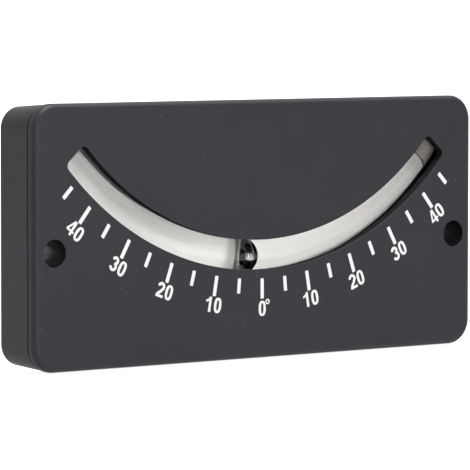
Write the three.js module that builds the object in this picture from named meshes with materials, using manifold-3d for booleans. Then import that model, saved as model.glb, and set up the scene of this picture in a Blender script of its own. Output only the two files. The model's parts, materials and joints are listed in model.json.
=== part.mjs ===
// Ball inclinometer for a panel or bulkhead. A steel ball rolls in a curved, liquid-filled tube behind a
// curved slot, and the scale under the slot reads up to 45 degrees each way.
//
// Lengths are in millimetres. X runs to the right of the person who reads the scale, Z runs up, and Y runs
// away from them into the panel. The origin is the centre of the back face. A "depth" below is a distance in
// front of the back face, so it runs along -Y. Angles are in degrees from straight down, round the centre
// that the tube bends about, and they grow towards +X.

import * as THREE from "three";
import { mergeVertices } from "three/addons/utils/BufferGeometryUtils.js";
import Module from "manifold-3d";

const wasm = await Module();
wasm.setup();

// Tube and ball
const tubeBendRadius = 61.35;
const tubeDiameter = 8;
const tubeWall = 1.1;
const tubeClearance = 0.075; // free depth in front of the tube, and the same behind it
const ballDiameter = 4.76; // a 3/16 inch ball
const ballRunningGap = 0.1;
const ballTravel = 44; // degrees each way, up to the end plugs
const ballStopGap = 0.2;

// End plugs
const plugGrip = 4.9; // length inside the tube
const plugFit = 0.12;
const plugFlange = 1.5;
const plugFlangeGap = 0.1;
const plugChamfer = 0.4;

// Trough in the housing that the tube lies in
const troughGap = 0.2;
const troughWall = 1.2;
const troughOverCentre = 0.6; // how far its walls rise past the tube's centre line
const troughEndGap = 0.3;
const troughEndWall = 1.5;

// Reflector strip on the floor of the trough
const stripThickness = 0.35;
const stripGap = 0.1;

// Body
const sideMargin = 1.49; // from the trough's outer corner to the side edge
const upperMargin = 4; // from the highest corner of the plugs to the top edge
const lowerMargin = 20.3; // from the lowest point of the tube's centre line to the bottom edge
const bodyCorner = 5;
const sideWall = 2;
const backWall = 1.5;
const housingEdge = 0.6; // round on the rear edge
const housingDraft = 0.65; // how far each side of the housing draws in towards the back face
const ribThickness = 1.2;
const ribHeight = 3.5;
const ribSpacing = 15;
const lowerRibCount = 5;
const upperRibCount = 3;

// Front cover
const coverThickness = 2;
const coverOverhang = 0.1;
const coverEdge = 0.9; // round on the front edge
const slotWidth = 5.9;
const slotCorner = 1.1;
const slotOverTravel = 4.5; // degrees that the slot runs on past the ball's travel
const lipGap = 0.2;
const lipThickness = 1.2;
const lipHeight = 1.5;
const lipNotchGap = 0.3;

// Scale, stamped into the cover
const scaleEnd = 45;
const scaleStep = 5;
const scaleLongStep = 10;
const tickGap = 1.7; // from the slot
const tickShort = 3;
const tickLong = 4;
const tickWidth = 0.85;
const tickSink = 0.2;

// Mounting holes, one at each end
const holeDiameter = 5.3;
const holeInset = 4.8; // from the side edge to the hole's axis
const holeDrop = 2.8; // below the middle of the body
const holeBossWall = 1.85;

// Cover screws: pan-head self-tapping screws, driven from the back
const screwThread = 2.9;
const screwCore = 2.3;
const screwHeadDiameter = 5.6;
const screwHeadHeight = 2;
const screwHeadRim = 0.7;
const screwHeadSink = 0.4;
const screwPoint = 1;
const screwPointDiameter = 1;
const screwTipGap = 1.1; // from the tip to the cover's rear face
const screwHoleGap = 0.15;
const screwHeadGap = 0.3;
const screwSeat = 1.8;
const screwBossWall = 1.4;
const recessWidth = 0.9;
const recessLength = 3.2;
const recessDepth = 1.2;
const pilotGap = 0.1;
const pilotEndGap = 0.3;
const postWall = 1.75;
const postGap = 0.3;
const upperScrewShare = 0.545; // of the body's half width
const upperScrewInset = 6.2; // from the top edge
const lowerScrewInset = 6.1; // from the bottom edge
const lowerScrewSideInset = 11;

// Fineness of the curved surfaces
const arcStep = 2.5; // degrees along the tube
const tubeSides = 24;
const holeSides = 32;
const screwSides = 24;
const cornerSteps = 8;
const slotCornerSteps = 4;
const edgeSteps = 4;
const ballSides = 32;
const ballRings = 20;
const headSteps = 4;
const mergeDistance = 1e-5;

// Let cuts run past the surface that they open, and joined pieces sink into each other
const overrun = 0.5;

// Sizes that follow
const tubeRadius = tubeDiameter / 2;
const boreRadius = tubeRadius - tubeWall;
const ballRadius = ballDiameter / 2;
const ballPathRadius = tubeBendRadius + boreRadius - ballRadius - ballRunningGap;
const plugInnerAngle = ballTravel + alongTube(ballRadius + ballStopGap);
const tubeEndAngle = plugInnerAngle + alongTube(plugGrip);
const flangeStartAngle = tubeEndAngle + alongTube(plugFlangeGap);
const flangeEndAngle = flangeStartAngle + alongTube(plugFlange);
const troughEndAngle = flangeEndAngle + alongTube(troughEndGap);
const troughOuterAngle = troughEndAngle + alongTube(troughEndWall);
const troughInnerRadius = tubeBendRadius - tubeRadius - troughGap;
const troughOuterRadius = tubeBendRadius + tubeRadius + troughGap;

const stripDepth = backWall + stripThickness;
const tubeDepth = stripDepth + tubeClearance + tubeRadius;
const coverBack = tubeDepth + tubeRadius + tubeClearance;
const bodyDepth = coverBack + coverThickness;
const troughDepth = tubeDepth + troughOverCentre;

const troughReach = (troughOuterRadius + troughWall) * Math.sin(radians(troughOuterAngle));
const plugRise = tubeBendRadius - (tubeBendRadius - tubeRadius) * Math.cos(radians(flangeEndAngle));
const bodyWidth = 2 * (troughReach + sideMargin);
const bodyHeight = lowerMargin + plugRise + upperMargin;
const arcCentreHeight = tubeBendRadius + lowerMargin - bodyHeight / 2;

const housingWidth = bodyWidth - 2 * coverOverhang;
const housingHeight = bodyHeight - 2 * coverOverhang;
const housingCorner = bodyCorner - coverOverhang;
const hollowWidth = housingWidth - 2 * sideWall;
const hollowHeight = housingHeight - 2 * sideWall;
const hollowCorner = housingCorner - sideWall;

const holeRadius = holeDiameter / 2;
const holeBossRadius = holeRadius + holeBossWall;
const holeX = bodyWidth / 2 - holeInset;

const headSeatDepth = screwHeadHeight + screwHeadSink;
const screwBossDepth = headSeatDepth + screwSeat;
const screwBossRadius = screwHeadDiameter / 2 + screwHeadGap + screwBossWall;
const screwLength = coverBack - screwTipGap - headSeatDepth;
const pilotRadius = screwCore / 2 + pilotGap;
const postRadius = pilotRadius + postWall;
const postDepth = screwBossDepth + postGap;
const pilotDepth = headSeatDepth + screwLength + pilotEndGap;

const mountingHoles = [-1, 1].map((side) => ({ x: side * holeX, z: -holeDrop }));
const upperScrewX = (upperScrewShare * bodyWidth) / 2;
const lowerScrewX = bodyWidth / 2 - lowerScrewSideInset;
const upperScrewZ = bodyHeight / 2 - upperScrewInset;
const lowerScrewZ = lowerScrewInset - bodyHeight / 2;
const screwPlaces = [
  { name: "cover_screw_upper_left", x: -upperScrewX, z: upperScrewZ },
  { name: "cover_screw_upper_right", x: upperScrewX, z: upperScrewZ },
  { name: "cover_screw_lower_left", x: -lowerScrewX, z: lowerScrewZ },
  { name: "cover_screw_lower_right", x: lowerScrewX, z: lowerScrewZ },
];

function radians(degrees) {
  return THREE.MathUtils.degToRad(degrees);
}

// The angle that a length takes up along the tube's centre line.
function alongTube(length) {
  return THREE.MathUtils.radToDeg(length / tubeBendRadius);
}

// The point of the front view at a radius and an angle round the centre that the tube bends about.
function onArc(radius, angle) {
  const turn = radians(angle);
  return new THREE.Vector2(radius * Math.sin(turn), arcCentreHeight - radius * Math.cos(turn));
}

// Solids from closed geometries, and back

function solidOf(geometry) {
  const bare = geometry.clone();
  bare.deleteAttribute("normal");
  bare.deleteAttribute("uv");
  const merged = mergeVertices(bare, mergeDistance);
  const mesh = new wasm.Mesh({
    numProp: 3,
    vertProperties: merged.attributes.position.array,
    triVerts: new Uint32Array(merged.index.array),
  });
  return new wasm.Manifold(mesh);
}

function geometryOf(solid) {
  const mesh = solid.getMesh();
  const geometry = new THREE.BufferGeometry();
  geometry.setAttribute("position", new THREE.BufferAttribute(mesh.vertProperties, mesh.numProp));
  geometry.setIndex(new THREE.BufferAttribute(mesh.triVerts, 1));
  geometry.computeVertexNormals();
  return geometry;
}

function joined(solids) {
  return solids.reduce((sum, solid) => sum.add(solid));
}

function cut(solid, tools) {
  return tools.reduce((left, tool) => left.subtract(tool), solid);
}

// Outlines in the front view

// The four quarters of a rectangle, in the order of a turn from +X to +Z.
const quarterSides = [
  [1, 1],
  [-1, 1],
  [-1, -1],
  [1, -1],
];

function roundedRectangle(width, height, corner) {
  const points = [];
  quarterSides.forEach(([sideX, sideZ], quarter) => {
    const centreX = sideX * (width / 2 - corner);
    const centreZ = sideZ * (height / 2 - corner);
    for (let step = 0; step <= cornerSteps; step++) {
      const turn = ((quarter + step / cornerSteps) * Math.PI) / 2;
      points.push(new THREE.Vector2(centreX + corner * Math.cos(turn), centreZ + corner * Math.sin(turn)));
    }
  });
  return new THREE.Shape(points);
}

function circlePoints(radius, sides) {
  const points = [];
  for (let side = 0; side < sides; side++) {
    const turn = (side * 2 * Math.PI) / sides;
    points.push(new THREE.Vector2(radius * Math.cos(turn), radius * Math.sin(turn)));
  }
  return points;
}

// A curved band between two radii. Where a corner size is given, the four corners are quarter rounds.
function band(inner, outer, halfAngle, corner = 0) {
  const steps = corner > 0 ? slotCornerSteps : 0;
  const quarter = (centreRadius, firstTurn) => {
    const reach = THREE.MathUtils.radToDeg(corner / centreRadius);
    const places = [];
    for (let step = 0; step <= steps; step++) {
      const turn = firstTurn + ((step / slotCornerSteps) * Math.PI) / 2;
      places.push({
        radius: centreRadius - corner * Math.cos(turn),
        angle: halfAngle - reach * (1 - Math.sin(turn)),
      });
    }
    return places;
  };
  const arcBetween = (from, to) => {
    const count = Math.ceil(Math.abs(to.angle - from.angle) / arcStep);
    const places = [];
    for (let step = 1; step < count; step++) {
      places.push({ radius: from.radius, angle: from.angle + ((to.angle - from.angle) * step) / count });
    }
    return places;
  };
  const rightEnd = [...quarter(inner + corner, 0), ...quarter(outer - corner, Math.PI / 2)];
  const leftEnd = rightEnd.map(({ radius, angle }) => ({ radius, angle: -angle })).reverse();
  const outline = [
    ...rightEnd,
    ...arcBetween(rightEnd.at(-1), leftEnd[0]),
    ...leftEnd,
    ...arcBetween(leftEnd.at(-1), rightEnd[0]),
  ];
  return new THREE.Shape(outline.map(({ radius, angle }) => onArc(radius, angle)));
}

// A straight mark that points at the arc's centre, such as a graduation.
function radialMark(angle, inner, length, width) {
  const middle = onArc(inner + length / 2, angle);
  const across = new THREE.Vector2(Math.cos(radians(angle)), Math.sin(radians(angle)));
  const along = new THREE.Vector2(-across.y, across.x);
  return new THREE.Shape(
    quarterSides.map(([side, end]) =>
      middle
        .clone()
        .addScaledVector(across, (side * width) / 2)
        .addScaledVector(along, (end * length) / 2),
    ),
  );
}

function box(left, bottom, right, top) {
  return new THREE.Shape([
    new THREE.Vector2(left, bottom),
    new THREE.Vector2(right, bottom),
    new THREE.Vector2(right, top),
    new THREE.Vector2(left, top),
  ]);
}

// Basic solids

// The outlines as a plate between two depths.
function plate(shapes, from, to) {
  const geometry = new THREE.ExtrudeGeometry(shapes, { depth: to - from, bevelEnabled: false });
  geometry.rotateX(Math.PI / 2);
  geometry.translate(0, -from, 0);
  return solidOf(geometry);
}

// A plate whose front and rear edges are rounded.
function softPlate(shape, from, to, round) {
  const geometry = new THREE.ExtrudeGeometry(shape, {
    depth: to - from - 2 * round,
    bevelThickness: round,
    bevelSize: round,
    bevelOffset: -round,
    bevelSegments: edgeSteps,
  });
  geometry.rotateX(Math.PI / 2);
  geometry.translate(0, -from - round, 0);
  return solidOf(geometry);
}

// A round peg or a round hole between two depths.
function peg(place, radius, from, to, sides) {
  const geometry = new THREE.CylinderGeometry(radius, radius, to - from, sides);
  geometry.translate(place.x, -(from + to) / 2, place.z);
  return solidOf(geometry);
}

// The outer sides of a solid drawn in towards the back face, as a moulding needs to leave its mould.
function drafted(solid, width, height, draft) {
  return solid.warp((point) => {
    const rearShare = 1 + point[1] / coverBack;
    point[0] *= 1 - (rearShare * draft) / (width / 2);
    point[2] *= 1 - (rearShare * draft) / (height / 2);
  });
}

class TubePath extends THREE.Curve {
  constructor(from, to) {
    super();
    this.from = from;
    this.to = to;
  }

  getPoint(share, target = new THREE.Vector3()) {
    const place = onArc(tubeBendRadius, this.from + (this.to - this.from) * share);
    return target.set(place.x, -tubeDepth, place.y);
  }
}

// A section swept along the tube's centre line between two angles.
function sweep(section, from, to) {
  return new THREE.ExtrudeGeometry(section, {
    steps: Math.ceil((to - from) / arcStep),
    extrudePath: new TubePath(from, to),
  });
}

// Pieces

function makeFrontCover() {
  const outline = roundedRectangle(bodyWidth, bodyHeight, bodyCorner);
  const soft = softPlate(outline, coverBack - coverEdge - overrun, bodyDepth, coverEdge);
  const face = soft.intersect(plate(outline, coverBack, bodyDepth));

  const lipWidth = hollowWidth - 2 * lipGap;
  const lipTall = hollowHeight - 2 * lipGap;
  const lipCorner = hollowCorner - lipGap;
  const lipShape = roundedRectangle(lipWidth, lipTall, lipCorner);
  const lipHole = roundedRectangle(
    lipWidth - 2 * lipThickness,
    lipTall - 2 * lipThickness,
    lipCorner - lipThickness,
  );
  lipShape.holes.push(new THREE.Path(lipHole.getPoints()));
  const lipBack = coverBack - lipHeight;
  const notches = mountingHoles.map((hole) =>
    peg(hole, holeBossRadius + lipNotchGap, lipBack - overrun, coverBack, holeSides),
  );
  const lip = cut(plate(lipShape, lipBack, coverBack + overrun), notches);

  const posts = screwPlaces.map((place) =>
    peg(place, postRadius, postDepth, coverBack + overrun, screwSides),
  );

  const slotInner = tubeBendRadius - slotWidth / 2;
  const slotOuter = tubeBendRadius + slotWidth / 2;
  const slotShape = band(slotInner, slotOuter, ballTravel + slotOverTravel, slotCorner);
  const slot = plate(slotShape, coverBack - overrun, bodyDepth + overrun);

  const marks = [];
  for (let angle = -scaleEnd; angle <= scaleEnd; angle += scaleStep) {
    const length = angle % scaleLongStep === 0 ? tickLong : tickShort;
    marks.push(radialMark(angle, slotOuter + tickGap, length, tickWidth));
  }
  const graduations = plate(marks, bodyDepth - tickSink, bodyDepth + overrun);

  const holes = mountingHoles.map((hole) =>
    peg(hole, holeRadius, coverBack - overrun, bodyDepth + overrun, holeSides),
  );
  const pilots = screwPlaces.map((place) =>
    peg(place, pilotRadius, postDepth - overrun, pilotDepth, screwSides),
  );
  return cut(joined([face, lip, ...posts]), [slot, graduations, ...holes, ...pilots]);
}

function makeRearHousing() {
  const outline = roundedRectangle(housingWidth, housingHeight, housingCorner);
  const soft = softPlate(outline, 0, coverBack + housingEdge + overrun, housingEdge);
  const straight = soft.intersect(plate(outline, 0, coverBack));
  const block = drafted(straight, housingWidth, housingHeight, housingDraft);
  const hollow = roundedRectangle(hollowWidth, hollowHeight, hollowCorner);
  const tray = block.subtract(plate(hollow, backWall, coverBack + overrun));
  // What stands inside starts in the middle of the back wall, and ends in the middle of the side walls.
  const floor = backWall / 2;
  const wallMiddleWidth = hollowWidth + sideWall;
  const wallMiddleHeight = hollowHeight + sideWall;
  const wallMiddle = roundedRectangle(wallMiddleWidth, wallMiddleHeight, hollowCorner + sideWall / 2);

  const trough = band(troughInnerRadius - troughWall, troughOuterRadius + troughWall, troughOuterAngle);
  const channel = band(troughInnerRadius, troughOuterRadius, troughEndAngle);
  const troughWalls = plate(trough, floor, troughDepth).subtract(
    plate(channel, floor - overrun, troughDepth + overrun),
  );

  const ribs = [];
  const addRibs = (count, fromRadius, toZ) => {
    for (let rib = 0; rib < count; rib++) {
      const x = (rib - (count - 1) / 2) * ribSpacing;
      const arcZ = arcCentreHeight - Math.sqrt(fromRadius ** 2 - x ** 2);
      const bottom = Math.min(arcZ, toZ);
      const top = Math.max(arcZ, toZ);
      ribs.push(box(x - ribThickness / 2, bottom, x + ribThickness / 2, top));
    }
  };
  addRibs(lowerRibCount, troughOuterRadius + troughWall / 2, -wallMiddleHeight / 2);
  addRibs(upperRibCount, troughInnerRadius - troughWall / 2, wallMiddleHeight / 2);
  const ribWalls = ribs.map((rib) => plate(rib, floor, backWall + ribHeight));

  const holeBosses = mountingHoles.map((hole) =>
    peg(hole, holeBossRadius, floor, coverBack, holeSides),
  );
  const screwBosses = screwPlaces.map((place) =>
    peg(place, screwBossRadius, floor, screwBossDepth, holeSides),
  );
  const fittings = joined([troughWalls, ...ribWalls, ...holeBosses, ...screwBosses]).intersect(
    plate(wallMiddle, 0, coverBack + overrun),
  );

  const holes = mountingHoles.map((hole) =>
    peg(hole, holeRadius, -overrun, coverBack + overrun, holeSides),
  );
  const headRadius = screwHeadDiameter / 2 + screwHeadGap;
  const shaftRadius = screwThread / 2 + screwHoleGap;
  const counterbores = screwPlaces.map((place) =>
    peg(place, headRadius, -overrun, headSeatDepth, holeSides),
  );
  const shafts = screwPlaces.map((place) =>
    peg(place, shaftRadius, 0, screwBossDepth + overrun, screwSides),
  );
  return cut(tray.add(fittings), [...holes, ...counterbores, ...shafts]);
}

function makeReflectorStrip() {
  const shape = band(
    troughInnerRadius + stripGap,
    troughOuterRadius - stripGap,
    troughEndAngle - alongTube(stripGap),
  );
  return plate(shape, backWall, stripDepth);
}

function makeCurvedTube() {
  const section = new THREE.Shape(circlePoints(tubeRadius, tubeSides));
  section.holes.push(new THREE.Path(circlePoints(boreRadius, tubeSides)));
  return solidOf(sweep(section, -tubeEndAngle, tubeEndAngle));
}

// A stopper with a chamfered nose inside the tube and a flange over its end. The side is -1 or 1.
function makeEndPlug(side) {
  const length = (radius, from, to) => {
    const section = new THREE.Shape(circlePoints(radius, tubeSides));
    return solidOf(side > 0 ? sweep(section, from, to) : sweep(section, -to, -from));
  };
  const stemRadius = boreRadius - plugFit;
  const noseEnd = plugInnerAngle + alongTube(plugChamfer);
  const nose = length(stemRadius - plugChamfer, plugInnerAngle, flangeStartAngle);
  const stem = length(stemRadius, noseEnd, flangeEndAngle);
  const flange = length(tubeRadius, flangeStartAngle, flangeEndAngle);
  return joined([nose, stem, flange]);
}

// A screw that points towards -Y, with the underside of its head at the origin.
function makeCoverScrew() {
  const core = screwCore / 2;
  const head = screwHeadDiameter / 2;
  const crown = screwHeadHeight - screwHeadRim;
  const profile = [
    new THREE.Vector2(0, -screwLength),
    new THREE.Vector2(screwPointDiameter / 2, -screwLength),
    new THREE.Vector2(core, screwPoint - screwLength),
    new THREE.Vector2(core, 0),
    new THREE.Vector2(head, 0),
  ];
  for (let step = 0; step < headSteps; step++) {
    const turn = ((step / headSteps) * Math.PI) / 2;
    profile.push(new THREE.Vector2(head * Math.cos(turn), screwHeadRim + crown * Math.sin(turn)));
  }
  profile.push(new THREE.Vector2(0, screwHeadHeight));
  const blank = solidOf(new THREE.LatheGeometry(profile, screwSides));
  const slots = [
    [recessLength, recessWidth],
    [recessWidth, recessLength],
  ].map(([wide, tall]) => {
    const slot = new THREE.BoxGeometry(wide, 2 * recessDepth, tall);
    slot.translate(0, screwHeadHeight, 0);
    return solidOf(slot);
  });
  return cut(blank, slots);
}

// Colours and finishes
const blackPlastic = { color: 0x44434a, roughness: 0.5, metalness: 0 };
const whitePlastic = { color: 0xe6e4df, roughness: 0.6, metalness: 0 };
const clearGlass = { color: 0xf4f6f4, roughness: 0.03, metalness: 0, transparent: true, opacity: 0.3 };
const greyRubber = { color: 0x8a857c, roughness: 0.7, metalness: 0 };
const polishedSteel = { color: 0xb8b9bb, roughness: 0.12, metalness: 1 };
const zincPlatedSteel = { color: 0xa5a7a8, roughness: 0.35, metalness: 1 };

function piece(name, geometry, look) {
  const mesh = new THREE.Mesh(geometry, new THREE.MeshStandardMaterial(look));
  mesh.name = name;
  return mesh;
}

const housing = new THREE.Group();
housing.add(piece("front_cover", geometryOf(makeFrontCover()), blackPlastic));
housing.add(piece("rear_housing", geometryOf(makeRearHousing()), blackPlastic));
housing.add(piece("reflector_strip", geometryOf(makeReflectorStrip()), whitePlastic));

const screwGeometry = geometryOf(makeCoverScrew());
for (const place of screwPlaces) {
  const screw = piece(place.name, screwGeometry, zincPlatedSteel);
  screw.position.set(place.x, -headSeatDepth, place.z);
  housing.add(screw);
}

const vial = new THREE.Group();
vial.add(piece("curved_tube", geometryOf(makeCurvedTube()), clearGlass));
vial.add(piece("end_plug_left", geometryOf(makeEndPlug(-1)), greyRubber));
vial.add(piece("end_plug_right", geometryOf(makeEndPlug(1)), greyRubber));

const ball = piece(
  "steel_ball",
  new THREE.SphereGeometry(ballRadius, ballSides, ballRings),
  polishedSteel,
);
ball.position.set(0, -tubeDepth, arcCentreHeight - ballPathRadius);
vial.add(ball);

const inclinometer = new THREE.Group();
inclinometer.name = "inclinometer";
inclinometer.add(housing, vial);

export default inclinometer;
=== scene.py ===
# Looks of a ball inclinometer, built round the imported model. Sizes are in metres, in the model's own frame:
# X to the right of the reader, Z up, Y into the panel. A depth is a distance in front of the back face.
# Places along the scale and the tube, such as SLOT_END and PLUG_NOSE, are angles from the 0, in degrees.
import json
import math

import bmesh
import bpy
from mathutils import Matrix, Vector
from mathutils.geometry import delaunay_2d_cdt


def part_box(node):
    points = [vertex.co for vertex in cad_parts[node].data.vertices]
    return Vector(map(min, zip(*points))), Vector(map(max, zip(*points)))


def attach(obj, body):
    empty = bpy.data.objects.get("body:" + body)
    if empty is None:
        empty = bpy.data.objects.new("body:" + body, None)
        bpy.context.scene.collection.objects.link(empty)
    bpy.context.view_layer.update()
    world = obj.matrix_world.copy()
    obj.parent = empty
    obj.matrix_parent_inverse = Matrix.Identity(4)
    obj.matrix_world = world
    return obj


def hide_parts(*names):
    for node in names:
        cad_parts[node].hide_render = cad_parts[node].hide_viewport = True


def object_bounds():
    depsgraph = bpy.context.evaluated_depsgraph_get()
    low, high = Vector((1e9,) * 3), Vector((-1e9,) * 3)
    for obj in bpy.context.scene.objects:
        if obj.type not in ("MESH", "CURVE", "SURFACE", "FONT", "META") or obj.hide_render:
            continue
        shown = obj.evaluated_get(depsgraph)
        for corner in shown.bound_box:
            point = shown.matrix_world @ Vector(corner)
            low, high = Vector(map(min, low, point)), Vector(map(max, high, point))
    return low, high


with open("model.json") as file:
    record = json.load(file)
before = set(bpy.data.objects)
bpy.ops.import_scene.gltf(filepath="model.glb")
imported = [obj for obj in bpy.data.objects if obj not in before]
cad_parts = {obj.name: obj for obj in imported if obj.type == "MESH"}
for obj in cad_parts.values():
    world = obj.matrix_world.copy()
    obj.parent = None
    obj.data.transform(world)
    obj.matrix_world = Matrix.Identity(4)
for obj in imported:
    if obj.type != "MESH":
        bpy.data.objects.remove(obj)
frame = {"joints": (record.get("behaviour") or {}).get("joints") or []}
cad_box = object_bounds()

MM = 0.001

# Sizes read from the frame
cover_low, cover_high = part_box("front_cover")
housing_low, housing_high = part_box("rear_housing")
tube_low, tube_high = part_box("curved_tube")
strip_low, strip_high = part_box("reflector_strip")
ball_low, ball_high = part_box("steel_ball")
arc_centre = Vector(frame["joints"][0]["pos_m"])

BODY_WIDTH = cover_high.x - cover_low.x
BODY_HEIGHT = cover_high.z - cover_low.z
BODY_DEPTH = -cover_low.y
HOUSING_WIDTH = housing_high.x - housing_low.x
HOUSING_HEIGHT = housing_high.z - housing_low.z
COVER_BACK = -housing_low.y
TUBE_RADIUS = (tube_high.y - tube_low.y) / 2
TUBE_DEPTH = -(tube_high.y + tube_low.y) / 2
BEND_RADIUS = arc_centre.z - tube_low.z - TUBE_RADIUS
TUBE_END = math.degrees(math.asin(tube_high.x / (BEND_RADIUS + TUBE_RADIUS)))
BACK_WALL = -strip_high.y
STRIP_FRONT = -strip_low.y
BALL_RADIUS = (ball_high.x - ball_low.x) / 2

# Body, with a rounder front edge than the model's, fine edge rounds and a groove at the parting line
BODY_CORNER = 5 * MM
COVER_EDGE = 1.1 * MM
OVERHANG = (BODY_WIDTH - HOUSING_WIDTH) / 2
HOUSING_CORNER = BODY_CORNER - OVERHANG
HOUSING_EDGE = 0.6 * MM
HOUSING_DRAFT = 0.65 * MM
SIDE_WALL = 2 * MM
REAR_EDGE = 0.12 * MM
RIM_EDGE = 0.1 * MM
SEAM_WIDTH = 0.35 * MM
SEAM_DEPTH = 0.9 * MM
FINE_EDGE = 0.12 * MM
SLOT_REAR_EDGE = 0.35 * MM

# Slot, scale and holes in the cover
SLOT_WIDTH = 5.9 * MM
SLOT_CORNER = 1.1 * MM
SLOT_END = 48.5
SCALE_END = 45
SCALE_STEP = 5
SCALE_LONG_STEP = 10
TICK_GAP = 1.7 * MM
TICK_SHORT = 3 * MM
TICK_LONG = 4 * MM
TICK_WIDTH = 0.85 * MM
TICK_SINK = 0.2 * MM
TICK_CORNER = 0.16 * MM
HOLE_RADIUS = 2.65 * MM
HOLE_FROM_SIDE = 4.8 * MM
HOLE_X = BODY_WIDTH / 2 - HOLE_FROM_SIDE
HOLE_Z = -2.8 * MM
HOLE_BOSS_WALL = 1.85 * MM

# Cover's lip and posts, and the housing's fittings
LIP_GAP = 0.2 * MM
LIP_THICKNESS = 1.2 * MM
LIP_HEIGHT = 1.5 * MM
LIP_NOTCH_GAP = 0.3 * MM
POST_RADIUS = 3 * MM
POST_BACK = 4.5 * MM
PILOT_RADIUS = 1.25 * MM
PILOT_END = 9.2 * MM
TROUGH_GAP = 0.2 * MM
TROUGH_WALL = 1.2 * MM
TROUGH_PAST_TUBE = 0.6 * MM
TROUGH_FRONT = TUBE_DEPTH + TROUGH_PAST_TUBE
TROUGH_END = 52.76
TROUGH_OUTER_END = 54.16
RIB_THICKNESS = 1.2 * MM
RIB_HEIGHT = 3.5 * MM
RIB_FRONT = BACK_WALL + RIB_HEIGHT
RIB_SPACING = 15 * MM
LOWER_RIBS = 5
UPPER_RIBS = 3
BOSS_FRONT = 4.2 * MM
BOSS_RADIUS = 4.5 * MM
HEAD_HOLE_RADIUS = 3.1 * MM
HEAD_SEAT = 2.4 * MM
SHAFT_RADIUS = 1.6 * MM

# Tube, its stoppers, whose noses lie further out than the model's, and the grey band over its right end
TUBE_WALL = 1.1 * MM
BORE_RADIUS = TUBE_RADIUS - TUBE_WALL
TUBE_END_ROUND = 0.3 * MM
PLUG_NOSE = 49.3
PLUG_FLANGE = 51.08
PLUG_END = 52.48
PLUG_FIT = 0.12 * MM
PLUG_ROUND = 0.4 * MM
PLUG_FLANGE_ROUND = 0.2 * MM
BAND_START = 44.8
BAND_END = 50.7
BAND_LINE = 0.3 * MM
BAND_THICKNESS = 0.04 * MM
BAND_GAP = 0.01 * MM

# Strip behind the tube
STRIP_SIDE = 0.1 * MM
STRIP_END_GAP = 0.09
STRIP_END = TROUGH_END - STRIP_END_GAP
STRIP_CORNER = 0.5 * MM
STRIP_EDGE = 0.06 * MM
STRIP_TURN = 0.1 * MM
STRIP_TURN_GAP = 0.04 * MM
STRIP_LAP = 0.7 * MM
STRIP_LAP_GAP = 0.02 * MM
STRIP_OUTER_RISE = 1 * MM

# White paint and printed numbers
PAINT_GAP = 0.01 * MM
DIGIT_HEIGHT = 3 * MM
DIGIT_HALF_WIDTH = 0.91 * MM
DIGIT_ADVANCE = 2.12 * MM
DIGIT_SHIFT = 0.1 * MM
DIGIT_STROKE = 0.58 * MM
DIGIT_BASE = 73.15 * MM
MITRE_LIMIT = 0.5
ZERO_SIDE_STROKE = 0.61 * MM
ZERO_END_STROKE = 0.47 * MM
ZERO_DROP = 0.25 * MM
PRINT_RAISE = 0.02 * MM
PRINT_SINK = 0.005 * MM
RING_RADIUS = 0.53 * MM
RING_HOLE = 0.24 * MM
RING_X = 1.36 * MM
RING_Z = 2.78 * MM

# Screws
SCREW_CORE = 1.15 * MM
SCREW_CREST = 1.45 * MM
SCREW_PITCH = 1.1 * MM
SCREW_HEAD = 2.8 * MM
SCREW_RIM = 0.7 * MM
SCREW_HEAD_ROUND = 0.1 * MM
SCREW_POINT = 1 * MM
SCREW_TIP_SHARE = 0.35
THREAD_RUNOUT = 0.4 * MM
THREAD_FLANK_SHARE = 0.3
CROWN_POWER = 0.6
RECESS_LENGTH = 3.2 * MM
RECESS_WIDTH = 0.9 * MM
RECESS_DEPTH = 1.2 * MM
RECESS_KNEE_SHARE = 0.4
RECESS_LENGTH_SHARES = (1.1, 0.8, 0.4)
RECESS_WIDTH_SHARES = (1.06, 0.88, 0.64)

# View of the photograph: azimuth, tilt and roll are in degrees, the sensor and the lens in millimetres
VIEW_PLACE = (-0.499, -0.6085, 0.046)
VIEW_TURNS = (39.52, -3.473, 0.051)
SENSOR_WIDTH = 36
LENS = 304.6

# Studio. Each lamp has its place, size and power in watts
LAMPS = {
    "strip_left": ((-0.24, -0.75, 0.08), (0.045, 0.4), 1.5),
    "strip_right": ((0.24, -0.74, 0.08), (0.045, 0.4), 1.45),
    "top": ((0.08, -0.24, 0.7), (0.5, 0.5), 7.2),
    "fill": ((-0.57, -0.82, 0.15), (0.5, 0.5), 0.3),
}
SOFT_LIGHT = 0.42
FLOOR_REACH = 80.0
FLOOR_COLOR = (0.34, 0.34, 0.34)
FLOOR_ROUGHNESS = 0.08
FLOOR_LIFT = 0.78
WALL_REACH = 3.2
WALL_TOP = 1.2
WALL_DISTANCE = 1.5
WALL_COLOR = (0.12, 0.12, 0.12)
WALL_ROUGHNESS = 0.9

# Fineness of the meshes
CORNER_STEPS = 16
EDGE_STEPS = 6
BAND_CORNER_STEPS = 8
TICK_CORNER_STEPS = 4
HOLE_SIDES = 64
ARC_STEP = 0.6
TUBE_SIDES = 64
BAND_BARE_SIDES = 3
PLUG_SIDES = 48
PLUG_STEPS = 8
SCREW_SIDES = 48
SCREW_STEPS = 110
CROWN_STEPS = 12
RING_SIDES = 32
OVAL_SIDES = 40
BOW_STEPS = 14
BALL_SUBDIVISIONS = 6
SHARP = math.radians(28)
OVERRUN = 0.5 * MM

# Limits for telling a wall's faces: the Y of their normals and how far off the slot's outline they lie
UPRIGHT = 0.1
SLOT_SIDE_MARGIN = 0.2 * MM
SLOT_END_MARGIN = 0.2


# Outlines in the front view, as lists of (x, z). An inset draws them in all round

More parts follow.
